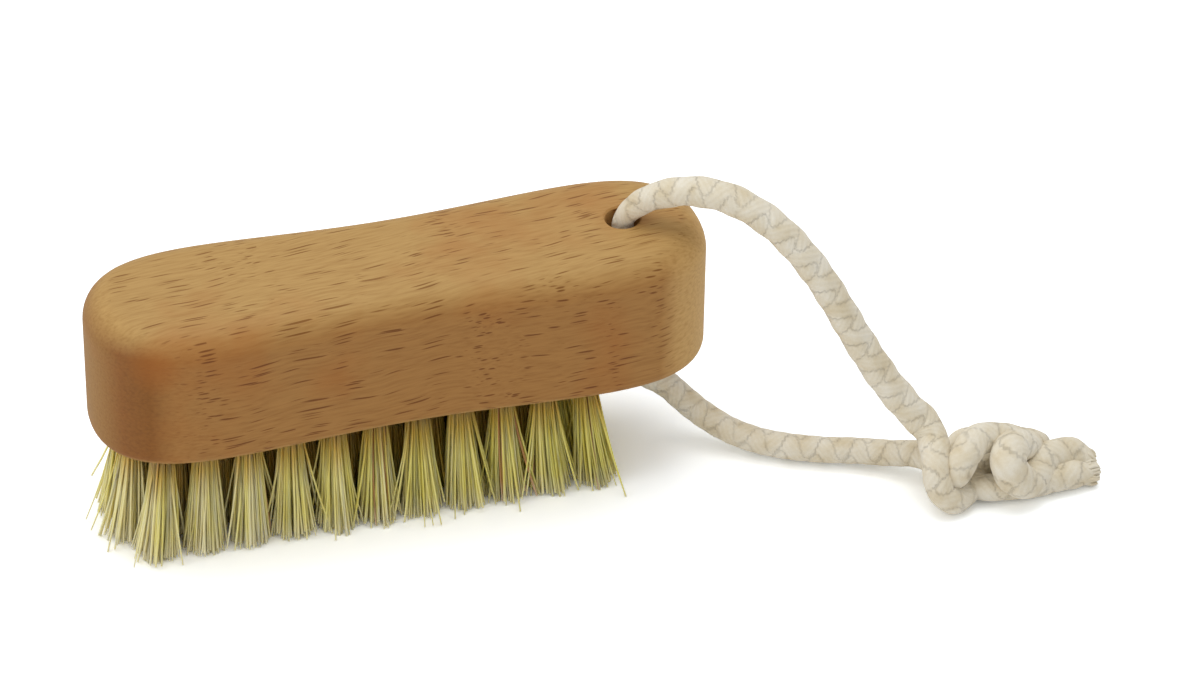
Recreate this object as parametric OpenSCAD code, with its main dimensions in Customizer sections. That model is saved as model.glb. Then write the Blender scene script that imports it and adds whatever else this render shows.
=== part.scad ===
// Wooden nail brush: a waisted beech block with staple-set tufts of plant fibre
// and a knotted loop of braided cotton cord through a hole near one end.
// Millimetres. X runs along the block towards the cord, Z is up, the tips are at z = 0.

/* [Block] */
// Length of the block
block_l = 96; // [89:1:105]
// Width across the waist
waist_w = 24; // [23.5:0.5:30]
// Width that the flared sides would reach at the very ends if these weren't rounded off
flare_w = 41; // [38:0.5:46]
// Thickness of the block
block_h = 24; // [20:0.1:29]
// Rounding of the top edge
top_r = 5; // [2:0.5:6]
// Rounding of the bottom edge
bottom_r = 2.5; // [1:0.1:3]
// Squareness of the outline along the block, where 2 gives an ellipse
end_squareness = 2.8; // [2.6:0.1:3.4]
// Squareness of the outline across the block, where 2 gives an ellipse
side_squareness = 2.2; // [2:0.1:2.6]

/* [Cord hole] */
// Diameter of the hole for the cord
bore_d = 5.6; // [5.6:0.1:7]
// From the end of the block to the middle of the hole
bore_inset = 12.7; // [11:0.1:14]
// Width of the eased rim at each mouth of the hole
bore_ease = 0.6; // [0.2:0.1:1]

/* [Tufts] */
// Free length of the bristles below the block
bristle_h = 18.5; // [16:0.5:24]
// Diameter of a tuft hole
tuft_hole_d = 3.8; // [3.4:0.1:4]
// Depth of a tuft hole
tuft_hole_depth = 11; // [8:0.5:14]
// Spacing of the tufts along a row
tuft_pitch = 6.6; // [6.4:0.1:6.9]
// Spacing of the rows
row_pitch = 5.2; // [5.1:0.1:5.4]
// Least length of the block, both ends taken together, that the rows of tufts leave bare
bare_l = 19; // [17:1:24]
// From the middle of the block back to the middle of the outer rows
field_shift = 5.6; // [5:0.1:6]
// Diameter of the circle over which a tuft's tips spread
tuft_spread_d = 4.8; // [4:0.1:5]
// How far the tips of the last tuft in a row lean outwards
end_lean = 1.8; // [0:0.1:2.5]
// How far the tips of the outer rows lean outwards
side_lean = 1.2; // [0:0.1:1.5]
// Thickness of a strand at its root
strand_root_d = 0.95; // [0.6:0.05:1]
// Thickness of a strand at its tip
strand_tip_d = 1.2; // [0.4:0.05:1.4]
// Clearance between a tuft and its hole
tuft_gap = 0.05; // [0.02:0.01:0.1]

/* [Anchors] */
// Width of a flat wire anchor, which bites into both sides of its hole
anchor_w = 4.5; // [4.2:0.1:4.8]
// Height of an anchor
anchor_h = 1.7; // [1:0.1:2.5]
// Thickness of an anchor
anchor_t = 0.4; // [0.2:0.05:0.6]
// Thickness of the fibres folded over an anchor
fold_t = 1; // [0.5:0.1:2]

/* [Cord] */
// Diameter of the braided cotton cord
cord_d = 4.6; // [3.6:0.1:4.8]
// Width of the knot, lying down
knot_w = 15; // [13:0.1:17]
// Height of the knot
knot_h = 11.6; // [10:0.1:13]
// Length of the knot along the cord
knot_l = 18.4; // [16:0.1:21]
// Turn of the knot's wraps against each other, in degrees
wrap_turn = 14; // [5:1:20]

/* [Hidden] */
$fn = 48;
// Points round the plan outline, rings in each rounded edge, sides of the cord
outline_points = 96;
edge_steps = 5;
cord_sides = 10;
wrap_steps = 20;
// Wraps of cord that make the knot
knot_wraps = 4;
// Overrun of every cut past the face that it opens
overrun = 1;
// How far a strand starts above the underside, inside its tuft's packed root
strand_root_in = 0.8;
// Strands round a tuft, besides the one at its middle
ring_strands = 8;
// Turn of a tuft's ring of strands against the last one in its row, in degrees
tuft_turn = 17;
// Turn of a row's rings of strands against those of the row before it, in degrees
row_turn = 31;
// How strongly the lean grows towards the ends of a row
lean_power = 3;
// Share of the side lean that the two inner rows take
inner_lean_share = 0.3;
// Rows of tufts across the block
rows = 4;
// Tufts in each row, as many as the length of the block takes
row_tufts = floor((block_l - bare_l) / tuft_pitch);

top_z = bristle_h + block_h;
bore_x = block_l / 2 - bore_inset;
plug_r = tuft_hole_d / 2 - tuft_gap;
plug_h = tuft_hole_depth - tuft_gap;
root_ring_r = plug_r - strand_root_d / 2 - tuft_gap;
anchor_top = bristle_h + tuft_hole_depth - fold_t;

// Route of the cord's upper arm, from the middle of the hole over the end of the block to the knot
upper_route = [
  [35.3, 0, 30.5], [35.3, 0, 35], [35.3, 0, 39.3], [35.6, -0.1, 42.3], [36.8, -0.9, 44.7],
  [39.4, -2.3, 47.2], [43.6, -4.7, 49.2], [48.2, -7.2, 49.3], [52.2, -9.4, 47.8], [56, -11.6, 45],
  [59.3, -13.5, 41.2], [62.3, -15.2, 36.6], [65.1, -16.8, 31.3], [68, -18.4, 25.5],
  [71.4, -20.3, 19.4], [74.9, -22.1, 14.4], [77.3, -23.6, 11.5], [79.8, -25, 9]
];
// Route of the lower arm, from the middle of the hole out below the block to the knot
lower_route = [
  [35.3, 0, 30.5], [35.3, 0, 25.5], [35.3, 0, 20.5], [35.5, 0, 16.8], [36.9, -0.1, 13.6],
  [39.6, -0.4, 11.6], [42.7, -1, 9.4], [45.2, -2.3, 6.9], [47.8, -4.2, 4.8], [51.2, -7.1, 3.2],
  [55.2, -10.1, 2.5], [59.6, -12.7, 2.4], [64.4, -14.8, 2.4], [69.2, -16.6, 2.6],
  [73.6, -18.9, 3], [77.2, -21.3, 3.9]
];
// Middle of the knot, and the way that it points on the ground, in degrees
knot_at = [85.7, -27.2, 5.8];
knot_yaw = -8;
// Routes of the two frayed tails, each with its radius as a share of the cord's
tail_a_route = [
  [90.4, -27.2, 5.2], [93.2, -27.1, 5.3], [95.8, -26.9, 5.3], [98.2, -26.7, 5.3], [100.5, -27, 4.5], [102.8, -28.2, 2.6]
];
tail_b_route = [
  [90.4, -31.2, 2.4], [93, -31.2, 2.4], [95.4, -31.1, 2.4], [97.9, -31, 2.4], [100.4, -30.9, 2.3], [103, -30.8, 1.6]
];
tail_shares = [1, 1, 1.04, 1.04, 0.78, 0.35];

function tuft_name(row, col) = str("tuft_", row + 1, "_", col + 1);
tuft_names = [for (row = [0 : rows - 1], col = [0 : row_tufts - 1]) tuft_name(row, col)];

// Plan outline: a superellipse whose half width grows with the square of x, so its sides are waisted
function signed_pow(v, p) = sign(v) * pow(abs(v), p);
function half_width(x) = waist_w / 2 + (flare_w - waist_w) / 2 * pow(2 * x / block_l, 2);
function outline_point(a) =
  let (x = block_l / 2 * signed_pow(cos(a), 2 / end_squareness))
  [x, half_width(x) * signed_pow(sin(a), 2 / side_squareness)];
outline = [for (i = [0 : outline_points - 1]) outline_point(360 * i / outline_points)];

// Outward direction of the outline at one of its points, from that point's two neighbours
function outward(i) =
  let (d = outline[(i + 1) % outline_points] - outline[(i + outline_points - 1) % outline_points])
  [d.y, -d.x] / norm(d);
outwards = [for (i = [0 : outline_points - 1]) outward(i)];

// One level ring of the block: the outline drawn in by an inset
function level_ring(inset, z) =
  [for (i = [0 : outline_points - 1]) let (p = outline[i] - inset * outwards[i]) [p.x, p.y, z]];

// Triangles of a closed skin over rings of n points, each ring anticlockwise seen from the last one
function skin(n, rings) = concat(
  [for (i = [0 : rings - 2], j = [0 : n - 1]) [i * n + j, (i + 1) * n + j, (i + 1) * n + (j + 1) % n]],
  [for (i = [0 : rings - 2], j = [0 : n - 1]) [i * n + j, (i + 1) * n + (j + 1) % n, i * n + (j + 1) % n]],
  [[for (j = [0 : n - 1]) j]],
  [[for (j = [n - 1 : -1 : 0]) (rings - 1) * n + j]]
);

module block_body() {
  quarter = [for (k = [0 : edge_steps]) 90 * k / edge_steps];
  low = [for (a = quarter) level_ring(bottom_r * (1 - sin(a)), bristle_h + bottom_r * (1 - cos(a)))];
  high = [for (a = quarter) level_ring(top_r * (1 - cos(a)), top_z - top_r * (1 - sin(a)))];
  rings = concat(low, high);
  polyhedron(points = [for (ring = rings) each ring], faces = skin(outline_points, len(rings)));
}

// The block: beech, with a blind hole for each tuft and an eased hole right through for the cord
module brush_block() {
  color("#BC9360")
  difference() {
    block_body();
    for (row = [0 : rows - 1], col = [0 : row_tufts - 1])
      translate(concat(tuft_place(row, col), bristle_h - overrun))
        cylinder(h = tuft_hole_depth + overrun, d = tuft_hole_d);
    translate([bore_x, 0, bristle_h - overrun])
      cylinder(h = block_h + 2 * overrun, d = bore_d);
    translate([bore_x, 0, top_z - bore_ease])
      cylinder(h = bore_ease + overrun, d1 = bore_d, d2 = bore_d + 2 * (bore_ease + overrun));
    translate([bore_x, 0, bristle_h - overrun])
      cylinder(h = bore_ease + overrun, d1 = bore_d + 2 * (bore_ease + overrun), d2 = bore_d);
  }
}

// Rows 0 and 3 are the outer ones. The inner rows sit half a pitch further from the cord hole
function row_side(row) = row - (rows - 1) / 2;
function is_outer(row) = row == 0 || row == rows - 1;
function tuft_place(row, col) = [
  (col - (row_tufts - 1) / 2) * tuft_pitch - field_shift - (is_outer(row) ? 0 : tuft_pitch / 2),
  row_side(row) * row_pitch
];
// How far a tuft's tips stand out from its root
function tuft_lean(row, col) = [
  end_lean * signed_pow(2 * col / (row_tufts - 1) - 1, lean_power),
  sign(row_side(row)) * side_lean * (is_outer(row) ? 1 : inner_lean_share)
];

// One strand: a three-sided taper from inside the packed root down to its cut tip at z = 0
module strand(root, tip, turn) {
  corners = [for (k = [0 : 2]) [cos(turn + 120 * k), sin(turn + 120 * k)]];
  low = [for (c = corners) concat(tip + strand_tip_d / 2 * c, 0)];
  high = [for (c = corners) concat(root + strand_root_d / 2 * c, bristle_h + strand_root_in)];
  polyhedron(points = concat(low, high), faces = skin(3, 2));
}

// One tuft: fibres folded over an anchor and packed into a hole, spreading towards their cut tips
module tuft(row, col) {
  place = tuft_place(row, col);
  lean = tuft_lean(row, col);
  turn = tuft_turn * col + row_turn * row;
  color("#D9CF96") {
    difference() {
      translate(concat(place, bristle_h))
        cylinder(h = plug_h, r = plug_r);
      translate([place.x - anchor_t / 2 - tuft_gap, place.y - anchor_w / 2, anchor_top - anchor_h - tuft_gap])
        cube([anchor_t + 2 * tuft_gap, anchor_w, anchor_h + 2 * tuft_gap]);
    }
    strand(place, place + lean, turn);
    for (k = [0 : ring_strands - 1]) {
      a = turn + 360 * k / ring_strands;
      out = [cos(a), sin(a)];
      strand(place + root_ring_r * out, place + lean + tuft_spread_d / 2 * out, a);
    }
  }
}

// The anchors: one flat wire clip across each hole, above the packed fibres and under their fold
module anchor_staples() {
  color("#A8A8A4")
  for (row = [0 : rows - 1], col = [0 : row_tufts - 1])
    translate(concat(tuft_place(row, col), anchor_top - anchor_h / 2))
      cube([anchor_t, anchor_w, anchor_h], center = true);
}

// Direction of a route at point i, and a ring of points square to it
function route_way(route, i) =
  let (d = route[min(i + 1, len(route) - 1)] - route[max(i - 1, 0)]) d / norm(d);
function route_ring(route, i, r, across) =
  let (
    way = route_way(route, i),
    flat = across - (across * way) * way,
    u = flat / norm(flat),
    v = cross(way, u)
  )
  [for (k = [0 : cord_sides - 1]) route[i] + r * (cos(360 * k / cord_sides) * u + sin(360 * k / cord_sides) * v)];

// A tube along a route. across is a direction that the route never runs along
module tube(route, radii, across) {
  rings = [for (i = [0 : len(route) - 1]) route_ring(route, i, radii[i], across)];
  polyhedron(points = [for (ring = rings) each ring], faces = skin(cord_sides, len(rings)));
}

loop_across = [0.5, 0.85, 0];
function cord_radii(route) = [for (p = route) cord_d / 2];

module cord_upper() {
  color("#E4DCC6") tube(upper_route, cord_radii(upper_route), loop_across);
}

module cord_lower() {
  color("#DDD4BC") tube(lower_route, cord_radii(lower_route), loop_across);
}

// One wrap of the knot: a ring of cord on an oval path round the knot's long way
module knot_wrap(turn) {
  path = [for (k = [0 : wrap_steps - 1])
    [0, (knot_w - cord_d) / 2 * cos(360 * k / wrap_steps), (knot_h - cord_d) / 2 * sin(360 * k / wrap_steps)]];
  rings = [for (k = [0 : wrap_steps - 1])
    let (
      d = path[(k + 1) % wrap_steps] - path[(k + wrap_steps - 1) % wrap_steps],
      v = cross(d / norm(d), [1, 0, 0])
    )
    [for (s = [0 : cord_sides - 1])
      path[k] + cord_d / 2 * (cos(360 * s / cord_sides) * [1, 0, 0] + sin(360 * s / cord_sides) * v)]];
  faces = [for (k = [0 : wrap_steps - 1], s = [0 : cord_sides - 1])
    let (
      a = k * cord_sides + s,
      b = k * cord_sides + (s + 1) % cord_sides,
      c = (k + 1) % wrap_steps * cord_sides + (s + 1) % cord_sides,
      d = (k + 1) % wrap_steps * cord_sides + s
    )
    each [[a, d, c], [a, c, b]]];
  rotate([0, 0, turn])
    polyhedron(points = [for (ring = rings) each ring], faces = faces);
}

// The knot: wraps of cord, drawn tight round a core and turned against each other by turns
module cord_knot() {
  wrap_step = (knot_l - cord_d) / (knot_wraps - 1);
  core_d = knot_h - cord_d;
  color("#E0D7C0")
  translate(knot_at)
    rotate([0, 0, knot_yaw])
      union() {
        rotate([0, 90, 0])
          cylinder(h = knot_l - cord_d, d = core_d, center = true);
        for (k = [0 : knot_wraps - 1])
          translate([(k - (knot_wraps - 1) / 2) * wrap_step, 0, 0])
            knot_wrap(k % 2 == 0 ? wrap_turn : -wrap_turn);
      }
}

module cord_tail(route) {
  color("#E9E2CF") tube(route, cord_d / 2 * tail_shares, [0, 1, 0]);
}

brush_block();
for (row = [0 : rows - 1], col = [0 : row_tufts - 1])
  tuft(row, col);
anchor_staples();
cord_upper();
cord_lower();
cord_knot();
cord_tail(tail_a_route);  // cord_tail_a
cord_tail(tail_b_route);  // cord_tail_b
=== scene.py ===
# A wooden nail brush: a waisted beech block, tufts of plant fibre held by wire anchors, and a
# knotted loop of braided cotton cord. Metres. X runs along the block to the cord, Z is up.
import math

import bpy
import numpy as np
from mathutils import Matrix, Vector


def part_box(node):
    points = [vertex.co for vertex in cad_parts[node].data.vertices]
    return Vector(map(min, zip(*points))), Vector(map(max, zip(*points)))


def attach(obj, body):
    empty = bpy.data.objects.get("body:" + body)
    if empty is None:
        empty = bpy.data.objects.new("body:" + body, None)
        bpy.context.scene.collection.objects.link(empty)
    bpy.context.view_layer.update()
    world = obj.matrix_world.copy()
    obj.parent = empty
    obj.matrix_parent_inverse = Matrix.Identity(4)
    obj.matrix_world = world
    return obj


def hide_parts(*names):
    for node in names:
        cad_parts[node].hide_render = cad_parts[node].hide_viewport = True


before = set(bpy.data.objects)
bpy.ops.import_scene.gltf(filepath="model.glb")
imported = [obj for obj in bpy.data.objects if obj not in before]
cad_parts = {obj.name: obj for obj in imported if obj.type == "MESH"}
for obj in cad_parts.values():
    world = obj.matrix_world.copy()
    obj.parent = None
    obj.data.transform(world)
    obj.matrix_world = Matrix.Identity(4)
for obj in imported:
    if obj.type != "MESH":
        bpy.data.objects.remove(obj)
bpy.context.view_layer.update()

# The block is one piece of European beech, sawn and routed to a waisted outline, drilled blind
# from below for the tufts and right through for the cord, then sanded round and dipped in oil.
mm = 0.001
block_low, block_high = (np.array(corner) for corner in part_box("brush_block"))
half_l = (block_high[0] - block_low[0]) / 2
waist_w = 24 * mm
flare_w = 41 * mm
end_squareness = 2.8
side_squareness = 2.2
top_r = 5 * mm
bottom_r = 2.5 * mm
outline_points = 400
edge_steps = 12
side_steps = 6
rim_in = 0.6 * mm
wood_smooth = 35


def signed_power(value, power):
    """The power of the size of a value, with the value's sign."""
    return np.sign(value) * np.abs(value) ** power


def even_steps(path, count):
    """count points at equal distances along a path of close points."""
    way = np.concatenate([[0], np.cumsum(np.linalg.norm(np.diff(path, axis=0), axis=1))])
    at = np.linspace(0, way[-1], count)
    return np.stack([np.interp(at, way, column) for column in path.T], 1)


def block_outline(count):
    """Plan outline: a superellipse whose half width grows with the square of x, anticlockwise."""
    angle = np.linspace(0, 2 * np.pi, 8 * count + 1)
    x = half_l * signed_power(np.cos(angle), 2 / end_squareness)
    half_w = waist_w / 2 + (flare_w - waist_w) / 2 * (x / half_l) ** 2
    y = half_w * signed_power(np.sin(angle), 2 / side_squareness)
    return even_steps(np.stack([x, y], 1), count + 1)[:-1]


def closed_tubes(rings, marks=None):
    """Points, faces and corner UVs of tubes given as an array of tube, ring, side and place.

    A quad joins each side of a ring to the next ring, and one flat face closes each end.
    U runs round a tube and V along it, unless marks gives both at every point.
    """
    tubes, count, sides = rings.shape[:3]
    near = np.arange(tubes * count * sides).reshape(tubes, count, sides)
    far = np.roll(near, -1, 2)
    quads = np.stack([near[:, :-1], far[:, :-1], far[:, 1:], near[:, 1:]], -1).reshape(-1, 4)
    ends = np.concatenate([near[:, 0, ::-1], near[:, -1]])
    u, v = np.meshgrid(np.arange(sides) / sides, np.arange(count - 1) / (count - 1))
    du, dv = 1 / sides, 1 / (count - 1)
    uv = np.stack([u, v, u + du, v, u + du, v + dv, u, v + dv], -1).reshape(-1, 4, 2)
    side_uv = np.tile(uv, (tubes, 1, 1)).reshape(-1, 2)
    corner_uv = np.concatenate([side_uv, np.zeros((ends.size, 2))])
    if marks is not None:
        corner_uv = marks.reshape(-1, 2)[np.concatenate([quads.ravel(), ends.ravel()])]
    return rings.reshape(-1, 3), quads.tolist() + ends.tolist(), corner_uv


def make_mesh(name, points, faces, corner_uv, smooth_to):
    """A mesh with one UV map, smooth across edges that turn by less than smooth_to degrees."""
    mesh = bpy.data.meshes.new(name)
    mesh.from_pydata(points.tolist(), [], faces)
    mesh.uv_layers.new(name="along").data.foreach_set("uv", corner_uv.astype(np.float32).ravel())
    mesh.shade_smooth()
    mesh.set_sharp_from_angle(angle=math.radians(smooth_to))
    return mesh


def make_piece(name, mesh, material):
    """An object at the origin for a finished mesh."""
    piece = bpy.data.objects.new(name, mesh)
    bpy.context.scene.collection.objects.link(piece)
    mesh.materials.append(material)
    return piece


def turned(centre, profile, sides):
    """Rings of a turned shape round an upright axis, from radii and heights listed upwards."""
    angle = np.linspace(0, 2 * np.pi, sides, endpoint=False)
    radius, height = np.array(profile, float).T
    x = centre[0] + radius[:, None] * np.cos(angle)
    y = centre[1] + radius[:, None] * np.sin(angle)
    return np.stack([x, y, np.broadcast_to(height[:, None], x.shape)], -1)[None]


def colour(code):
    """A hex colour as linear red, green, blue and alpha."""
    part = np.array([int(code[k:k + 2], 16) for k in (1, 3, 5)]) / 255
    linear = np.where(part <= 0.04045, part / 12.92, ((part + 0.055) / 1.055) ** 2.4)
    return (*linear.tolist(), 1.0)


def add(tree, kind, inputs=None, **settings):
    """Adds one node with its settings, and fills or links each input by name or number."""
    node = tree.nodes.new(kind)
    for name, value in settings.items():
        setattr(node, name, value)
    for name, value in (inputs or {}).items():
        if isinstance(value, bpy.types.NodeSocket):
            tree.links.new(value, node.inputs[name])
        else:
            node.inputs[name].default_value = value
    return node


def new_material(name):
    """A material with an empty tree, and its output node."""
    material = bpy.data.materials.new(name)
    material.use_nodes = True
    material.node_tree.nodes.clear()
    return material, material.node_tree, add(material.node_tree, "ShaderNodeOutputMaterial")


def colour_steps(ramp, steps):
    """Sets a colour ramp to pairs of place and hex colour."""
    while len(ramp.color_ramp.elements) < len(steps):
        ramp.color_ramp.elements.new(0.5)
    for element, (place, code) in zip(ramp.color_ramp.elements, steps):
        element.position = place
        element.color = colour(code)


def oiled_beech():
    """European beech, sanded and oiled: warm tan with short dark rays, almost without rings.

    The rays are spindles along the grain, so they show as dashes on the long faces and as dots
    on the ends. Oil leaves a dull satin gloss. It soaked deeper into the sawn sides than into
    the top, and deepest into the oblique grain of the corners, which are redder and darker.
    """
    ray_l = 7.0
    ray_w = 0.4
    ray_shuffle = 18
    sway_by = 3.2
    streaks_per_mm = (0.2, 2.6, 2.6)
    side_slope = math.radians(2.8)
    top_slope = math.radians(4.5)
    stain_at = (-40.5 * mm, -15 * mm, 38.5 * mm)
    stain_r = 7 * mm
    material, tree, output = new_material("oiled_beech")
    place = add(tree, "ShaderNodeTexCoord")
    facing = add(tree, "ShaderNodeSeparateXYZ", {0: place.outputs["Normal"]})
    in_mm = add(tree, "ShaderNodeMapping", {
        "Vector": place.outputs["Object"], "Rotation": (0, side_slope, -top_slope),
        "Scale": (1 / mm, 1 / mm, 1 / mm)})
    sway = add(tree, "ShaderNodeTexNoise", {"Vector": in_mm.outputs[0], "Scale": 0.05, "Detail": 2})
    swayed = add(tree, "ShaderNodeVectorMath", {
        0: sway.outputs["Color"], 1: (0, sway_by, sway_by), 2: in_mm.outputs[0]},
        operation="MULTIPLY_ADD")
    # rays: one spindle in most of the cells of a pattern drawn out along the grain
    shuffle_place = add(tree, "ShaderNodeMapping", {
        "Vector": in_mm.outputs[0], "Scale": (0, 0.22, 0.22)})
    shuffle = add(tree, "ShaderNodeTexNoise", {
        "Vector": shuffle_place.outputs[0], "Scale": 1.0, "Detail": 2})
    shuffled = add(tree, "ShaderNodeVectorMath", {
        0: shuffle.outputs["Color"], 1: (ray_shuffle, 0, 0), 2: swayed.outputs[0]},
        operation="MULTIPLY_ADD")
    ray_place = add(tree, "ShaderNodeMapping", {
        "Vector": shuffled.outputs[0], "Scale": (1 / ray_l, 1 / ray_w, 1 / ray_w)})
    ray = add(tree, "ShaderNodeTexVoronoi", {"Vector": ray_place.outputs[0], "Scale": 1.0})
    ray_kind = add(tree, "ShaderNodeSeparateColor", {0: ray.outputs["Color"]})
    ray_size = add(tree, "ShaderNodeMapRange", {
        "Value": ray_kind.outputs[0], "From Min": 0.15, "From Max": 1.0,
        "To Min": 0.05, "To Max": 0.52})
    ray_reach = add(tree, "ShaderNodeMath", {
        0: ray_size.outputs[0], 1: ray.outputs["Distance"]}, operation="SUBTRACT")
    ray_mark = add(tree, "ShaderNodeMapRange", {
        "Value": ray_reach.outputs[0], "From Min": 0.0, "From Max": 0.24},
        interpolation_type="SMOOTHSTEP")
    # the sides and the corners drink more oil than the top, and most at the end far from the hole
    upright = add(tree, "ShaderNodeMath", {0: facing.outputs[2]}, operation="ABSOLUTE")
    side_share = add(tree, "ShaderNodeMapRange", {
        "Value": upright.outputs[0], "From Min": 0.3, "From Max": 0.9,
        "To Min": 1.0, "To Max": 0.0})
    end_on = add(tree, "ShaderNodeMapRange", {
        "Value": facing.outputs[0], "From Min": -1.0, "From Max": 1.0})
    side = add(tree, "ShaderNodeValToRGB", {0: end_on.outputs[0]})
    colour_steps(side, [
        (0.0, "#A0773F"), (0.15, "#8A5822"), (0.3, "#86541A"), (0.4, "#A4743A"),
        (0.62, "#AC7D42"), (0.7, "#C89F62"), (0.9, "#D2AC6E")])
    sided = add(tree, "ShaderNodeMix", {
        0: side_share.outputs[0], 6: colour("#BA9458"), 7: side.outputs[0]}, data_type="RGBA")
    # streaks: pores and fibres, too fine to show at their real width of 0.1 mm, drawn coarser
    streak_place = add(tree, "ShaderNodeMapping", {
        "Vector": swayed.outputs[0], "Scale": streaks_per_mm})
    streak = add(tree, "ShaderNodeTexNoise", {
        "Vector": streak_place.outputs[0], "Scale": 1.0, "Detail": 2})
    streak_tone = add(tree, "ShaderNodeValToRGB", {0: streak.outputs["Fac"]})
    colour_steps(streak_tone, [(0.3, "#EAE3D9"), (0.5, "#F7F5F2"), (0.7, "#FFFFFF")])
    streaked = add(tree, "ShaderNodeMix", {
        0: 1.0, 6: sided.outputs[2], 7: streak_tone.outputs[0]},
        data_type="RGBA", blend_type="MULTIPLY")
    # soaked oil: broad soft patches, and one darker stain on the front left corner of the top
    soak = add(tree, "ShaderNodeTexNoise", {"Vector": in_mm.outputs[0], "Scale": 0.06, "Detail": 3})
    soak_share = add(tree, "ShaderNodeMapRange", {
        "Value": soak.outputs["Fac"], "From Min": 0.5, "From Max": 0.72, "To Max": 0.45})
    from_stain = add(tree, "ShaderNodeVectorMath", {
        0: place.outputs["Object"], 1: stain_at}, operation="DISTANCE")
    stain_share = add(tree, "ShaderNodeMapRange", {
        "Value": from_stain.outputs["Value"], "From Min": 0.3 * stain_r, "From Max": stain_r,
        "To Min": 0.8, "To Max": 0.0})
    soak_or_stain = add(tree, "ShaderNodeMath", {
        0: soak_share.outputs[0], 1: stain_share.outputs[0]}, operation="MAXIMUM")
    soaked = add(tree, "ShaderNodeMix", {
        0: soak_or_stain.outputs[0], 6: streaked.outputs[2], 7: colour("#A05C18")},
        data_type="RGBA")
    # rays stand out most on the long sides, a little less on the top, and hardly on the ends
    ray_share = add(tree, "ShaderNodeMapRange", {
        "Value": upright.outputs[0], "To Min": 1.0, "To Max": 0.9})
    long_share = add(tree, "ShaderNodeValToRGB", {0: end_on.outputs[0]})
    colour_steps(long_share, [
        (0.37, "#000000"), (0.47, "#FFFFFF"), (0.6, "#FFFFFF"), (0.72, "#303030")])
    face_share = add(tree, "ShaderNodeMath", {
        0: ray_share.outputs[0], 1: long_share.outputs[0]}, operation="MULTIPLY")
    ray_shown = add(tree, "ShaderNodeMath", {
        0: ray_mark.outputs[0], 1: face_share.outputs[0]}, operation="MULTIPLY")
    rayed = add(tree, "ShaderNodeMix", {
        0: ray_shown.outputs[0], 6: soaked.outputs[2], 7: colour("#B69A64")},
        data_type="RGBA", blend_type="MULTIPLY")
    gloss = add(tree, "ShaderNodeMapRange", {
        "Value": soak.outputs["Fac"], "To Min": 0.7, "To Max": 0.56})
    height = add(tree, "ShaderNodeMath", {
        0: ray_mark.outputs[0], 1: -0.7, 2: streak.outputs["Fac"]}, operation="MULTIPLY_ADD")
    relief = add(tree, "ShaderNodeBump", {
        "Height": height.outputs[0], "Strength": 0.35, "Distance": 0.05 * mm})
    surface = add(tree, "ShaderNodeBsdfPrincipled", {
        "Base Color": rayed.outputs[2], "Roughness": gloss.outputs[0],
        "Normal": relief.outputs[0], "IOR": 1.48, "Specular IOR Level": 0.35})
    tree.links.new(surface.outputs[0], output.inputs[0])
    return material


outline = block_outline(outline_points)
along = np.roll(outline, -1, 0) - np.roll(outline, 1, 0)
outward = np.stack([along[:, 1], -along[:, 0]], 1) / np.linalg.norm(along, axis=1)[:, None]
quarter = np.linspace(0, np.pi / 2, edge_steps + 1)
low_z, high_z = block_low[2], block_high[2]
side_z = np.linspace(low_z + bottom_r, high_z - top_r, side_steps)[1:-1]
inset = np.concatenate([
    [bottom_r + rim_in], bottom_r * (1 - np.sin(quarter)), 0 * side_z,
    top_r * (1 - np.cos(quarter)), [top_r + rim_in]])
level = np.concatenate([
    [low_z], low_z + bottom_r * (1 - np.cos(quarter)), side_z,
    high_z - top_r * (1 - np.sin(quarter)), [high_z]])
drawn_in = outline[None] - inset[:, None, None] * outward[None]
heights = np.broadcast_to(level[:, None, None], (*drawn_in.shape[:2], 1))
level_rings = np.concatenate([drawn_in, heights], -1)
beech = oiled_beech()
block_tube = closed_tubes(level_rings[None])
block = make_piece("block", make_mesh("block", *block_tube, wood_smooth), beech)

# The holes: one for each tuft, drilled blind from below in four rows, and one for the cord,
# drilled right through, with a narrow countersunk rim at both mouths.
tuft_hole_r = 1.9 * mm
tuft_hole_depth = 11 * mm
tuft_pitch = 6.6 * mm
row_pitch = 5.2 * mm
field_shift = 5.6 * mm
rows = 4
row_tufts = 11
bore_r = 2.7 * mm
bore_ease = 0.25 * mm
overrun = 1 * mm
bore_x = 35.3 * mm
tuft_hole_sides = 40
bore_sides = 64


def tuft_place(row, col):
    """Middle of a tuft hole. The inner rows sit half a pitch further from the cord."""
    inner = row in (1, 2)
    x = (col - (row_tufts - 1) / 2) * tuft_pitch - field_shift - inner * tuft_pitch / 2
    return np.array([x, (row - (rows - 1) / 2) * row_pitch])


places = [tuft_place(row, col) for row in range(rows) for col in range(row_tufts)]
tuft_profile = [(tuft_hole_r, low_z - overrun), (tuft_hole_r, low_z + tuft_hole_depth)]
tuft_cuts = np.concatenate([turned(place, tuft_profile, tuft_hole_sides) for place in places])
wide = bore_r + bore_ease + overrun
bore_profile = [
    (wide, low_z - overrun), (bore_r, low_z + bore_ease),
    (bore_r, high_z - bore_ease), (wide, high_z + overrun)]
bore_cut = turned((bore_x, 0), bore_profile, bore_sides)
for name, rings in (("tuft_cuts", tuft_cuts), ("bore_cut", bore_cut)):
    cutter = make_piece(name, make_mesh(name, *closed_tubes(rings), wood_smooth), beech)
    cut = block.modifiers.new(name, "BOOLEAN")
    cut.operation = "DIFFERENCE"
    cut.solver = "EXACT"
    cut.object = cutter
cut_block = block.evaluated_get(bpy.context.evaluated_depsgraph_get())
drilled = bpy.data.meshes.new_from_object(cut_block)
block.modifiers.clear()
for name in ("tuft_cuts", "bore_cut"):
    bpy.data.objects.remove(bpy.data.objects[name])
drilled.shade_smooth()
drilled.set_sharp_from_angle(angle=math.radians(wood_smooth))
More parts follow.
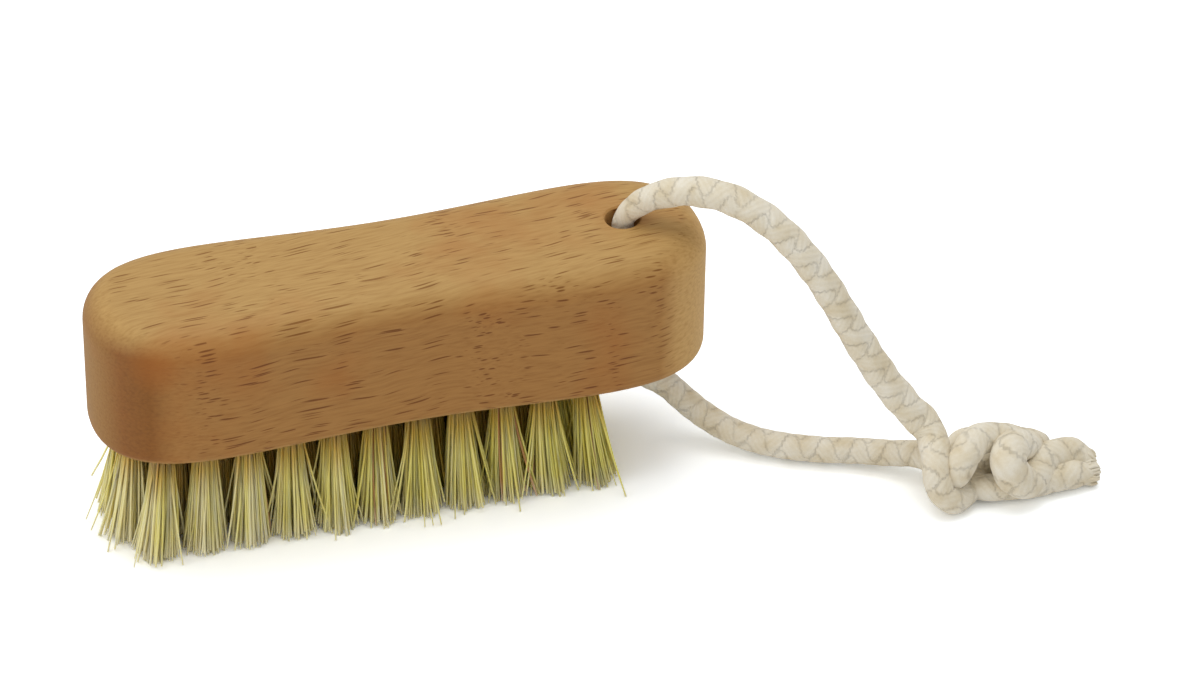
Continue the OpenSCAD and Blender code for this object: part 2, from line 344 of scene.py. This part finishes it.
block.data = drilled
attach(block, "brush")
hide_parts("brush_block")

# The tufts: bundles of stiff plant fibre, about a third of a millimetre thick, folded over
# an anchor and driven into their holes, so they stand packed at the root and fan out at the tips.
chance = np.random.default_rng(11)
root_r = 1.6 * mm
tip_r = 3.1 * mm
end_lean = 1.8 * mm
side_lean = 1.2 * mm
inner_lean_share = 0.3
# painted shade on the inner rows: their darker root colour is stretched over more of their length
inner_shade_length_share = 0.4
fibres = 220
fibre_rings = 6
fibre_sides = 5
fibre_thin = 0.12 * mm
fibre_thick = 0.21 * mm
fibre_taper = 0.85
fibre_smooth = 80
root_in_hole = 0.9 * mm
stray_share = 0.05
stray_reach = 0.9
trim_depth = 2 * mm
brown_share = 0.012
brown_tuft = (0, 8)
brown_tuft_share = 0.16
plug_sides = 20
plug_profile = [
    (1.2 * mm, low_z + 0.7 * mm), (1.82 * mm, low_z + root_in_hole),
    (1.84 * mm, low_z + 9.6 * mm), (1.2 * mm, low_z + 10.9 * mm)]
golden_turn = math.pi * (3 - math.sqrt(5))


def thin_tubes(root, middle, tip, root_size, tip_size, aside, rings, sides):
    """Thin round tapers, each along a bend from root to tip drawn towards a middle point.

    A place is (1-t)^2 root + 2t(1-t) middle + t^2 tip, and aside is any way that they don't run.
    """
    t = np.linspace(0, 1, rings)[None, :, None]
    root, middle, tip = (point[:, None] for point in (root, middle, tip))
    line = (1 - t) ** 2 * root + 2 * t * (1 - t) * middle + t ** 2 * tip
    way = (1 - t) * (middle - root) + t * (tip - middle)
    way /= np.linalg.norm(way, axis=-1, keepdims=True)
    across = np.cross(np.broadcast_to(aside, way.shape), way)
    across /= np.linalg.norm(across, axis=-1, keepdims=True)
    up = np.cross(way, across)
    angle = np.linspace(0, 2 * np.pi, sides, endpoint=False)[None, None, :, None]
    size = (root_size[:, None] + (tip_size - root_size)[:, None] * t[..., 0])[..., None, None]
    out = np.cos(angle) * across[:, :, None] + np.sin(angle) * up[:, :, None]
    return line[:, :, None] + size * out


def plant_fibre():
    """Agave-like brush fibre: matt, straw to olive green, paler at the cut tips, a few brown.

    U holds each fibre's own tone. V runs from its root, which is browner and darker as painted
    shade under the block and between the fibres, to its tip.
    """
    mottles_per_m = (900, 900, 220)
    material, tree, output = new_material("plant_fibre")
    place = add(tree, "ShaderNodeTexCoord")
    part = add(tree, "ShaderNodeSeparateXYZ", {0: place.outputs["UV"]})
    tone = add(tree, "ShaderNodeValToRGB", {0: part.outputs[0]})
    colour_steps(tone, [
        (0.0, "#B08054"), (0.03, "#C49A68"), (0.05, "#D2C65C"), (0.25, "#E2D97C"),
        (0.5, "#E9DE86"), (0.75, "#F3E79E"), (1.0, "#F9EEB6")])
    # painted shade: the roots are darkened and browned along V, as if shaded by the block and by
    # the fibres around them
    length = add(tree, "ShaderNodeValToRGB", {0: part.outputs[1]})
    colour_steps(length, [(0.0, "#7A4E20"), (0.22, "#CFB680"), (0.5, "#FFFFFF")])
    shaded = add(tree, "ShaderNodeMix", {
        0: 1.0, 6: tone.outputs[0], 7: length.outputs[0]}, data_type="RGBA", blend_type="MULTIPLY")
    mottle_place = add(tree, "ShaderNodeMapping", {
        "Vector": place.outputs["Object"], "Scale": mottles_per_m})
    mottle = add(tree, "ShaderNodeTexNoise", {
        "Vector": mottle_place.outputs[0], "Scale": 1.0, "Detail": 2})
    mottled = add(tree, "ShaderNodeMix", {
        0: mottle.outputs["Fac"], 6: shaded.outputs[2], 7: colour("#F7EFD2")},
        data_type="RGBA", blend_type="MULTIPLY")
    tip_share = add(tree, "ShaderNodeMapRange", {
        "Value": part.outputs[1], "From Min": 0.8, "From Max": 1.0,
        "To Min": 0.0, "To Max": 0.35})
    tipped = add(tree, "ShaderNodeMix", {
        0: tip_share.outputs[0], 6: mottled.outputs[2], 7: colour("#F3EBDA")}, data_type="RGBA")
    surface = add(tree, "ShaderNodeBsdfPrincipled", {
        "Base Color": tipped.outputs[2], "Roughness": 0.5, "IOR": 1.46, "Subsurface Weight": 0.7,
        "Subsurface Radius": (1.0, 0.9, 0.7), "Subsurface Scale": 0.8 * mm})
    tree.links.new(surface.outputs[0], output.inputs[0])
    return material


def fibre_tuft(row, col):
    """One tuft: fibres spread like sunflower seeds over the hole and wider over the tips.

    A fibre leaves its hole nearly upright and bends outwards, to a cut end a little above the
    plane of the tips. A few stray wide of the rest.
    """
    turn_scatter = 0.12
    tip_scatter = 0.36 * mm
    bend_scatter = 0.28 * mm
    bend_share = 0.34
    outer = row in (0, rows - 1)
    lean = np.array([
        end_lean * signed_power(2 * col / (row_tufts - 1) - 1, 3),
        np.sign(row - (rows - 1) / 2) * side_lean * (1 if outer else inner_lean_share)])
    centre = tuft_place(row, col)
    count = np.arange(fibres)
    turn = count * golden_turn + row * 2.1 + col * 1.3 + chance.normal(0, turn_scatter, fibres)
    share = np.sqrt((count + 0.5) / fibres)
    seat = np.stack([np.cos(turn), np.sin(turn)], 1) * share[:, None]
    stray = 1 + stray_reach * (chance.random(fibres) < stray_share)
    spread = seat * tip_r * stray[:, None] * chance.uniform(0.82, 1.15, (fibres, 1))
    spread += chance.normal(0, tip_scatter, (fibres, 2))
    root = np.column_stack([centre + seat * root_r, np.full(fibres, low_z + root_in_hole)])
    tip_z = trim_depth * chance.beta(1.1, 3.2, fibres)
    tip = np.column_stack([centre + lean + spread, tip_z])
    middle = (root + tip) / 2
    bend = chance.normal(0, bend_scatter, (fibres, 2))
    middle[:, :2] = root[:, :2] + bend_share * (tip - root)[:, :2] + bend
    size = chance.uniform(fibre_thin, fibre_thick, fibres)
    return thin_tubes(
        root, middle, tip, size, size * fibre_taper, (0, 1, 0), fibre_rings, fibre_sides)


def fibre_tones(row, col):
    """Each fibre's tone: painted shade darkens it tuft by tuft towards the cord, and it varies in
    waves round the tuft.

    The waves put like fibres side by side, as in a real bundle. A few fibres are brown.
    """
    first_tone = 0.84
    shade_fall = 0.056
    fibre_scatter = 0.13
    tuft_scatter = 0.06
    wave_heights = {2: 0.12, 4: 0.16, 7: 0.12}
    greenest = 0.06
    brown = 0.01
    # painted shade: the tufts nearer the cord get darker tones, and the far ones paler
    tone = first_tone - shade_fall * col + chance.normal(0, fibre_scatter, fibres)
    tone += chance.normal(0, tuft_scatter)
    around = np.arange(fibres) * golden_turn
    for waves, height in wave_heights.items():
        tone += height * np.cos(waves * around + chance.uniform(0, 2 * np.pi))
    tone = np.clip(tone, greenest, 1)
    share = brown_tuft_share if (row, col) == brown_tuft else brown_share
    tone[chance.random(fibres) < share] = brown
    return tone


fibre = plant_fibre()
for row in range(rows):
    for col in range(row_tufts):
        points, faces, corner_uv = closed_tubes(fibre_tuft(row, col))
        plug_points, plug_faces, plug_uv = closed_tubes(
            turned(tuft_place(row, col), plug_profile, plug_sides))
        tone = fibre_tones(row, col)
        side_corners = 4 * (fibre_rings - 1) * fibre_sides
        corner_uv[:fibres * side_corners, 0] = np.repeat(tone, side_corners)
        corner_uv[fibres * side_corners:] = np.column_stack([
            np.repeat(np.tile(tone, 2), fibre_sides), np.repeat([0.0, 1.0], fibres * fibre_sides)])
        plug_uv[:] = (0.5, 0.0)
        # painted shade: the inner tufts' V is squeezed, so the darker root colour runs further
        # along them, as if shaded by the tufts around them
        shaded_by_others = row in (1, 2) and 0 < col < row_tufts - 1
        corner_uv[:, 1] *= inner_shade_length_share if shaded_by_others else 1
        faces += [[corner + len(points) for corner in face] for face in plug_faces]
        mesh = make_mesh(
            "fibres", np.concatenate([points, plug_points]), faces,
            np.concatenate([corner_uv, plug_uv]), fibre_smooth)
        tuft = make_piece(f"fibres_{row + 1}_{col + 1}", mesh, fibre)
        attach(tuft, "brush")
        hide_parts(f"tuft_{row + 1}_{col + 1}")


# The anchors: short lengths of flat steel wire, driven across each fold of fibre into the wood
# by the machine that fills the block. They hold the tufts and stay out of sight in their holes.
def drawn_wire():
    """Tinned steel wire, flattened between rollers: bright, with faint lines along it."""
    lines_per_m = (9000, 300, 9000)
    material, tree, output = new_material("anchor_wire")
    place = add(tree, "ShaderNodeTexCoord")
    line_place = add(tree, "ShaderNodeMapping", {
        "Vector": place.outputs["Object"], "Scale": lines_per_m})
    lines = add(tree, "ShaderNodeTexNoise", {
        "Vector": line_place.outputs[0], "Scale": 1.0, "Detail": 1})
    gloss = add(tree, "ShaderNodeMapRange", {
        "Value": lines.outputs["Fac"], "To Min": 0.25, "To Max": 0.45})
    surface = add(tree, "ShaderNodeBsdfPrincipled", {
        "Base Color": colour("#B9B8B2"), "Metallic": 1.0, "Roughness": gloss.outputs[0]})
    tree.links.new(surface.outputs[0], output.inputs[0])
    return material


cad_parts["anchor_staples"].material_slots[0].material = drawn_wire()

# The cord: one length of four-strand braided cotton, 4.6 mm thick, through the hole and tied
# to itself. Its upper arm arches over the end of the block, and its lower arm lies down.
# A route holds points of its middle line, and a size list the cord's thickness at each in mm.
cord_d = 4.6 * mm
lay = 10.6 * mm
line_step = 0.3 * mm
curve_steps = 24
cord_sides = 72
cord_smooth = 75
cord_turned_by = 0.4
yarns = 5
strand_out = 0.3
strand_swing = 0.05
strand_thick = 0.16
strand_wide = math.radians(84)
plain_round = 0.49
relief = 0.32
crease_w = 0.022
crease_depth = 0.016
yarn_groove = 0.004
bulge_softening = 4
crease_softening = 2
upper_route = np.array([
    (35.3, 0, 30.5), (35.3, 0, 35), (35.3, 0, 39.3), (35.6, -0.1, 42.3), (36.8, -0.9, 44.7),
    (39.4, -2.3, 47.2), (43.6, -4.7, 49.2), (48.2, -7.2, 49.3), (52.2, -9.4, 47.8), (56, -11.6, 45),
    (59.3, -13.5, 41.2), (62.3, -15.2, 36.6), (65.1, -16.8, 31.3), (68, -18.4, 25.5),
    (71.4, -20.3, 19.4), (74.9, -22.1, 14.4), (77.1, -23.3, 11.8)]) * mm
upper_size = [3.8, 3.8, 3.6, 3.3, 3.7, 4.3, 4.7, 4.9, 4.9, 4.9, 4.9, 4.9, 4.9, 5.0, 5.1, 5.2, 5.3]
lower_route = np.array([
    (35.3, 0, 30.5), (35.3, 0, 25.5), (35.3, 0, 20.5), (35.5, 0, 16.8), (36.9, -0.1, 13.6),
    (39.6, -0.4, 11.6), (42.7, -1, 9.4), (45.2, -2.3, 6.9), (47.8, -4.2, 4.8), (51.2, -7.1, 3.2),
    (55.2, -10.1, 2.5), (59.6, -12.7, 2.4), (64.4, -14.8, 2.4), (69.2, -16.6, 2.6),
    (73.6, -18.9, 3), (77.2, -21.3, 3.9)]) * mm
lower_size = [3.9, 3.9, 4, 4.2, 4.3, 4.3, 4.3, 4.3, 4.3, 4.2, 4.2, 4.2, 4.2, 4.2, 4.2, 4.3]

# The knot: both arms tied together in one overhand knot, pulled tight, so that its turns are
# squeezed. The upper arm goes down its front, under it and up again, and round the lower arm,
# which climbs behind it, crosses over its top as a broad band, and comes round to the front.
knot_route_a = np.array([
    (78, -25.1, 10.2), (77.7, -27.9, 8.8), (77.2, -30.1, 7), (77.7, -31.3, 4.4), (79.7, -31.6, 2.4),
    (81.9, -30.3, 2.2), (84.3, -27.6, 2.2), (87.6, -25.3, 2.3), (91.5, -24, 2.8), (94.6, -25, 4.4),
    (92.9, -27.1, 7), (89.4, -29.6, 8.9), (88.2, -31.9, 8.1), (89.2, -32.4, 5.6),
    (91.2, -31.9, 3.9), (93.4, -30.4, 4), (95.6, -28.5, 4.8)]) * mm
knot_size_a = [5, 4.7, 4.5, 4.5, 4.5, 4.2, 4.2, 4.2, 4.2, 4.2, 4.8, 5.6, 5.9, 5.8, 5.5, 5.5, 5.2]
knot_route_b = np.array([
    (79.4, -24.9, 4.4), (80.3, -28.5, 4.8), (80.7, -30.2, 7), (82.1, -29.4, 9.2),
    (84.4, -27.4, 9.8), (87.6, -26.3, 9), (90.9, -25.7, 7.4), (94.2, -24.6, 5.2),
    (96.1, -23.2, 3.4), (93.8, -22.1, 3.6), (90, -21.9, 4.4), (86.9, -21.3, 4.8),
    (84.5, -21.3, 4.6), (83.5, -22.3, 2.8), (83.3, -26.1, 2.2), (84.4, -29.5, 2.5),
    (86.6, -30.5, 2.5), (89.7, -30.8, 2.4), (92.9, -31, 2.4)]) * mm
knot_size_b = [
    4.4, 4.4, 4.7, 4.9, 5, 4.9, 4.7, 4.5, 4.4, 4.4, 4.4, 4.4, 4.4, 4.4, 4.4, 4.3, 4.3, 4.4, 4.7]

# The tails: the cord's two cut ends, side by side, whose yarns have come loose into blunt tips.
# They lie on the ground beyond the knot.
tail_route_a = np.array([(98, -27.8, 4.8), (100.3, -27.7, 4.2), (102.4, -28.5, 2.6)]) * mm
tail_size_a = [4.8, 4.9, 4]
tail_route_b = np.array([(96.3, -30.5, 2.5), (99.4, -30.5, 2.4), (102.7, -29.8, 1.8)]) * mm
tail_size_b = [4.9, 4.8, 3.8]
loose_yarns = 110
yarn_r = 0.27 * mm
yarn_taper = 0.9
yarn_rings = 6
yarn_sides = 6
end_points = 8


def line_length(line):
    """Length of a line of close points."""
    return float(np.linalg.norm(np.diff(line, axis=0), axis=1).sum())


def smooth_line(route):
    """Close, evenly spaced points on the curve that passes through a route's points.

    Between two points it is the cubic whose slope at each is half the step between its neighbours.
    """
    points = np.vstack([2 * route[:1] - route[1:2], route, 2 * route[-1:] - route[-2:-1]])
    before, here, there, after = (points[k:len(points) - 3 + k, None] for k in range(4))
    t = np.linspace(0, 1, curve_steps, endpoint=False)[None, :, None]
    curve = here + t / 2 * ((there - before) + t * (
        2 * before - 5 * here + 4 * there - after + t * (3 * here - before - 3 * there + after)))
    curve = np.vstack([curve.reshape(-1, 3), route[-1:]])
    return even_steps(curve, round(line_length(curve) / line_step) + 1)


def carried_frame(line, first):
    """Two ways square to a line and to each other at each point, carried along without a twist."""
    way = np.gradient(line, axis=0)
    way /= np.linalg.norm(way, axis=1)[:, None]
    side = np.empty_like(way)
    held = np.array(first, float)
    for k, forward in enumerate(way):
        held = held - (held @ forward) * forward
        held /= np.linalg.norm(held)
        side[k] = held
    return side, np.cross(way, side)


def softened(grid, times):
    """A grid of rings whose points are drawn, several times, to the mean of their neighbours."""
    for _ in range(times):
        grid = (np.roll(grid, 1, 1) + grid + np.roll(grid, -1, 1)) / 3
        grid = (np.vstack([grid[1:], grid[-1:]]) + 2 * grid + np.vstack([grid[:1], grid[:-1]])) / 4
    return grid


def braid(line, size):
    """Rings and marks of a tube that is the outside of four strands wound round a line.

    Two strands wind each way. A strand's middle stands at an angle that grows with the length,
    and at a distance that swings with twice that angle, so it passes over and under the others,
    and its back falls off to both sides as the upper half of an oval. The surface is as far out
    as the outermost strand, drawn towards a plain round by relief, with a crease where two
    strands reach equally far and fine grooves between yarns. All are shares of the thickness.
    U counts the yarns, and V grows to 1 in a crease.
    """
    side, up = carried_frame(line, (0, 1, 0))
    run = np.linspace(0, line_length(line), len(line))
    hand = np.array([1, 1, -1, -1])[:, None]
    turn = np.array([0, np.pi, 0, np.pi])[:, None] + hand * 2 * np.pi * run / lay
    middle = (strand_out + strand_swing * hand * np.cos(2 * turn))[..., None]
    angle = np.linspace(0, 2 * np.pi, cord_sides, endpoint=False)
    off = (np.angle(np.exp(1j * (angle - turn[..., None])))) / strand_wide
    back_rise = strand_thick * np.sqrt(np.maximum(1 - off ** 2, 0))
    reach = np.where(np.abs(off) < 1, middle + back_rise, 0)
    outermost = reach.argmax(0)[None]
    across = np.take_along_axis(off, outermost, 0)[0]
    by_reach = np.sort(reach, 0)
    crease = np.exp(-((by_reach[-1] - by_reach[-2]) / crease_w) ** 2)
    bulge = softened(by_reach[-1], bulge_softening)
    crease = softened(crease, crease_softening)
    groove = crease_depth * crease + yarn_groove * np.cos(np.pi * yarns * across) ** 2
    radius = size[:, None] * (plain_round + relief * (bulge - bulge.mean()) - groove)
    around = angle + cord_turned_by
    out = np.cos(around)[:, None] * side[:, None] + np.sin(around)[:, None] * up[:, None]
    marks = np.stack([across * yarns / 2 + 10 * outermost[0], crease], -1)
    return line[:, None] + radius[..., None] * out, marks


def whole_cord(routes, sizes):
    """Line, rings and marks of one cord through several runs, and where each run ends on it."""
    route = np.concatenate(routes)
    line = smooth_line(route)
    at = np.linalg.norm(line[:, None] - route, axis=2).argmin(0)
    size = np.interp(np.arange(len(line)), at, np.concatenate(sizes)) * mm
    ends = at[np.cumsum([len(run) for run in routes]) - 1]
    return line, *braid(line, size), ends


def frayed_end(line):
    """Tubes of loose yarns: a blunt bundle, packed like sunflower seeds, at the end of a line.

    The yarns start inside the cord. Those in the middle reach furthest, and none goes below the
    ground.
    """
    tip_scatter = 0.08 * mm
    bend_scatter = 0.12 * mm
    root_share = 0.7
    bulge_share = 0.25
    before_end = line[-end_points]
    way = (line[-1] - before_end) / np.linalg.norm(line[-1] - before_end)
    side, up = (column[-1] for column in carried_frame(line[-end_points:], (0, 1, 0)))
    count = np.arange(loose_yarns)
    share = np.sqrt((count + 0.5) / loose_yarns)[:, None]
    turn = (count * golden_turn)[:, None]
    seat = cord_d / 2 * share * (np.cos(turn) * side + np.sin(turn) * up)
    root_in = way * chance.uniform(1.2, 2.6, (loose_yarns, 1)) * mm
    root = line[-1] + root_share * seat - root_in
    tip_seat = seat * chance.uniform(0.75, 1.0, (loose_yarns, 1))
    tip_out = way * chance.uniform(0.3, 0.8, (loose_yarns, 1)) * (1.4 - 0.7 * share) * mm
    tip = line[-1] + tip_seat + tip_out + chance.normal(0, tip_scatter, (loose_yarns, 3))
    bend = chance.normal(0, bend_scatter, (loose_yarns, 3))
    middle = (root + tip) / 2 + bulge_share * seat + bend
    for point in (root, middle, tip):
        point[:, 2] = np.maximum(point[:, 2], yarn_r)
    size = yarn_r * chance.uniform(0.85, 1.1, loose_yarns)
    rings = thin_tubes(
        root, middle, tip, size, size * yarn_taper, (0.1, 0.2, 1), yarn_rings, yarn_sides)
    return closed_tubes(rings, np.zeros((*rings.shape[:3], 2)))


def braided_cotton():
    """Undyed cotton, soft and dull: off-white yarns with fine lint, and dust with painted shade in
    some creases.

    U counts the yarns across a strand, and V grows to 1 in the creases between strands.
    """
    lint_per_mm = 3.5
    patches_per_mm = 0.3
    material, tree, output = new_material("braided_cotton")
    place = add(tree, "ShaderNodeTexCoord")
    part = add(tree, "ShaderNodeSeparateXYZ", {0: place.outputs["UV"]})
    in_mm = add(tree, "ShaderNodeMapping", {
        "Vector": place.outputs["Object"], "Scale": (1 / mm, 1 / mm, 1 / mm)})
    lint = add(tree, "ShaderNodeTexNoise", {
        "Vector": in_mm.outputs[0], "Scale": lint_per_mm, "Detail": 4, "Roughness": 0.7})
    patch = add(tree, "ShaderNodeTexNoise", {
        "Vector": in_mm.outputs[0], "Scale": patches_per_mm, "Detail": 3})
    tone = add(tree, "ShaderNodeValToRGB", {0: patch.outputs["Fac"]})
    colour_steps(tone, [(0.3, "#E4D9C0"), (0.5, "#EDE6D5"), (0.7, "#F3EFE4")])
    linted = add(tree, "ShaderNodeMix", {
        0: lint.outputs["Fac"], 6: tone.outputs[0], 7: colour("#F1EBDD")},
        data_type="RGBA", blend_type="MULTIPLY")
    yarn_turn = add(tree, "ShaderNodeMath", {
        0: part.outputs[0], 1: 2 * math.pi}, operation="MULTIPLY")
    yarn_wave = add(tree, "ShaderNodeMath", {0: yarn_turn.outputs[0]}, operation="SINE")
    yarn_share = add(tree, "ShaderNodeMapRange", {
        "Value": yarn_wave.outputs[0], "From Min": -1.0, "From Max": 1.0,
        "To Min": 0.0, "To Max": 0.12})
    yarned = add(tree, "ShaderNodeMix", {
        0: yarn_share.outputs[0], 6: linted.outputs[2], 7: colour("#E0D8C2")},
        data_type="RGBA", blend_type="MULTIPLY")
    # dust and painted shade: patches of the creases, where V is high, are darkened as if dust lay
    # and shade fell there
    dust_and_shade_here = add(tree, "ShaderNodeMapRange", {
        "Value": patch.outputs["Fac"], "From Min": 0.4, "From Max": 0.58,
        "To Min": 0.45, "To Max": 0.04})
    crease_dust_and_shade = add(tree, "ShaderNodeMath", {
        0: part.outputs[1], 1: dust_and_shade_here.outputs[0]}, operation="MULTIPLY")
    dust_and_shade_creased = add(tree, "ShaderNodeMix", {
        0: crease_dust_and_shade.outputs[0], 6: yarned.outputs[2], 7: colour("#C8B27C")},
        data_type="RGBA", blend_type="MULTIPLY")
    height = add(tree, "ShaderNodeMath", {
        0: yarn_wave.outputs[0], 1: -0.25, 2: lint.outputs["Fac"]}, operation="MULTIPLY_ADD")
    nap = add(tree, "ShaderNodeBump", {
        "Height": height.outputs[0], "Strength": 0.6, "Distance": 0.12 * mm})
    surface = add(tree, "ShaderNodeBsdfPrincipled", {
        "Base Color": dust_and_shade_creased.outputs[2], "Roughness": 0.92, "Normal": nap.outputs[0],
        "Specular IOR Level": 0.2, "Sheen Weight": 0.2, "Sheen Roughness": 0.5})
    tree.links.new(surface.outputs[0], output.inputs[0])
    return material


def cord_piece(name, tubes, *nodes):
    """One piece made of the closed tubes of several runs of cord, riding on the loop."""
    first = np.cumsum([0] + [len(tube[0]) for tube in tubes])
    points = np.concatenate([tube[0] for tube in tubes])
    faces = [[k + start for k in face] for start, tube in zip(first, tubes) for face in tube[1]]
    corner_uv = np.concatenate([tube[2] for tube in tubes])
    piece = make_piece(name, make_mesh(name, points, faces, corner_uv, cord_smooth), cotton)
    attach(piece, "cord_loop")
    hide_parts(*nodes)
    return piece


def run_of(rings, marks, start, end):
    """The closed tube of a cord's run from one of its rings to another, both included."""
    return closed_tubes(rings[None, start:end + 1], marks[start:end + 1])


cotton = braided_cotton()
line_a, rings_a, marks_a, (arm_a, knot_a, tail_a) = whole_cord(
    [upper_route, knot_route_a, tail_route_a], [upper_size, knot_size_a, tail_size_a])
line_b, rings_b, marks_b, (arm_b, knot_b, tail_b) = whole_cord(
    [lower_route, knot_route_b, tail_route_b], [lower_size, knot_size_b, tail_size_b])
upper_arm = cord_piece("upper_arm", [run_of(rings_a, marks_a, 0, arm_a)], "cord_upper")
lower_arm = cord_piece("lower_arm", [run_of(rings_b, marks_b, 0, arm_b)], "cord_lower")
knot = cord_piece("knot", [
    run_of(rings_a, marks_a, arm_a, knot_a), run_of(rings_b, marks_b, arm_b, knot_b)], "cord_knot")
tail_upper = cord_piece(
    "tail_a", [run_of(rings_a, marks_a, knot_a, tail_a), frayed_end(line_a)], "cord_tail_a")
tail_lower = cord_piece(
    "tail_b", [run_of(rings_b, marks_b, knot_b, tail_b), frayed_end(line_b)], "cord_tail_b")

# The camera: a long lens, a little to the left of the brush and well above it.
camera_turn = math.radians(-16.796)
camera_rise = math.radians(38.201)
camera_roll = math.radians(0.979)
camera_far = 900 * mm
camera_target = np.array([37.075, 16.431, 5.0]) * mm
camera_near_clip = 50 * mm
camera_far_clip = 20
sensor_w = 36.0
focal_px = 5699.2
frame_w_px = 1200
back = np.array([
    math.sin(camera_turn) * math.cos(camera_rise),
    -math.cos(camera_turn) * math.cos(camera_rise), math.sin(camera_rise)])
level_right = np.array([math.cos(camera_turn), math.sin(camera_turn), 0.0])
level_up = np.cross(back, level_right)
right = math.cos(camera_roll) * level_right + math.sin(camera_roll) * level_up
up = math.cos(camera_roll) * level_up - math.sin(camera_roll) * level_right
camera = bpy.data.objects.new("camera", bpy.data.cameras.new("camera"))
camera.data.sensor_width = sensor_w
camera.data.lens = focal_px / frame_w_px * sensor_w
camera.data.clip_start = camera_near_clip
camera.data.clip_end = camera_far_clip
stance = np.eye(4)
stance[:3] = np.stack([right, up, back, camera_target + back * camera_far], 1)
camera.matrix_world = Matrix(stance.tolist())
bpy.context.scene.collection.objects.link(camera)
bpy.context.scene.camera = camera

# The studio: a white paper floor in white surroundings, one large soft lamp overhead, and a
# small one low at the left, which lights the end of the block that is far from the cord.
floor_half = 2.0
floor_bounce = (0.9, 0.9, 0.9, 1)
floor_seen = (1.5, 1.56, 1.61, 1)
fill_strength = 0.6
lamp_l, lamp_w = 0.6, 0.5
lamp_power = 2.3
lamp_at = (0.02, 0.1, 0.75)
lamp_tilt = math.radians(-8)
side_size = 0.3
side_power = 0.62
side_at = (-0.48, -0.2, 0.12)
side_rise = math.radians(78)
side_turn = math.radians(-67)
floor_mesh = bpy.data.meshes.new("floor")
floor_mesh.from_pydata([
    (-floor_half, -floor_half, 0), (floor_half, -floor_half, 0),
    (floor_half, floor_half, 0), (-floor_half, floor_half, 0)], [], [(0, 1, 2, 3)])
floor_paper, tree, output = new_material("floor_paper")
seen = add(tree, "ShaderNodeLightPath")
paper = add(tree, "ShaderNodeMix", {
    0: seen.outputs["Is Camera Ray"], 6: floor_bounce, 7: floor_seen}, data_type="RGBA")
paper_surface = add(tree, "ShaderNodeBsdfDiffuse", {0: paper.outputs[2]})
tree.links.new(paper_surface.outputs[0], output.inputs[0])
floor = make_piece("floor", floor_mesh, floor_paper)

world = bpy.data.worlds.new("studio")
bpy.context.scene.world = world
world.use_nodes = True
tree = world.node_tree
tree.nodes.clear()
seen = add(tree, "ShaderNodeLightPath")
seen_or_mirrored = add(tree, "ShaderNodeMath", {
    0: seen.outputs["Is Camera Ray"], 1: seen.outputs["Is Glossy Ray"]}, operation="MAXIMUM")
seen_at_all = add(tree, "ShaderNodeMath", {
    0: seen_or_mirrored.outputs[0], 1: seen.outputs["Is Transmission Ray"]}, operation="MAXIMUM")
strength = add(tree, "ShaderNodeMapRange", {
    "Value": seen_at_all.outputs[0], "To Min": fill_strength, "To Max": 1.0})
sky = add(tree, "ShaderNodeBackground", {0: (1, 1, 1, 1), 1: strength.outputs[0]})
tree.links.new(sky.outputs[0], add(tree, "ShaderNodeOutputWorld").inputs[0])

lamp = bpy.data.objects.new("overhead_lamp", bpy.data.lights.new("overhead_lamp", "AREA"))
lamp.data.shape = "RECTANGLE"
lamp.data.size = lamp_l
lamp.data.size_y = lamp_w
lamp.data.energy = lamp_power
lamp.location = lamp_at
lamp.rotation_euler = (lamp_tilt, 0, 0)
bpy.context.scene.collection.objects.link(lamp)
side_lamp = bpy.data.objects.new("side_lamp", bpy.data.lights.new("side_lamp", "AREA"))
side_lamp.data.size = side_size
side_lamp.data.energy = side_power
side_lamp.location = side_at
side_lamp.rotation_euler = (side_rise, 0, side_turn)
bpy.context.scene.collection.objects.link(side_lamp)

bpy.context.scene.view_settings.view_transform = "Standard"
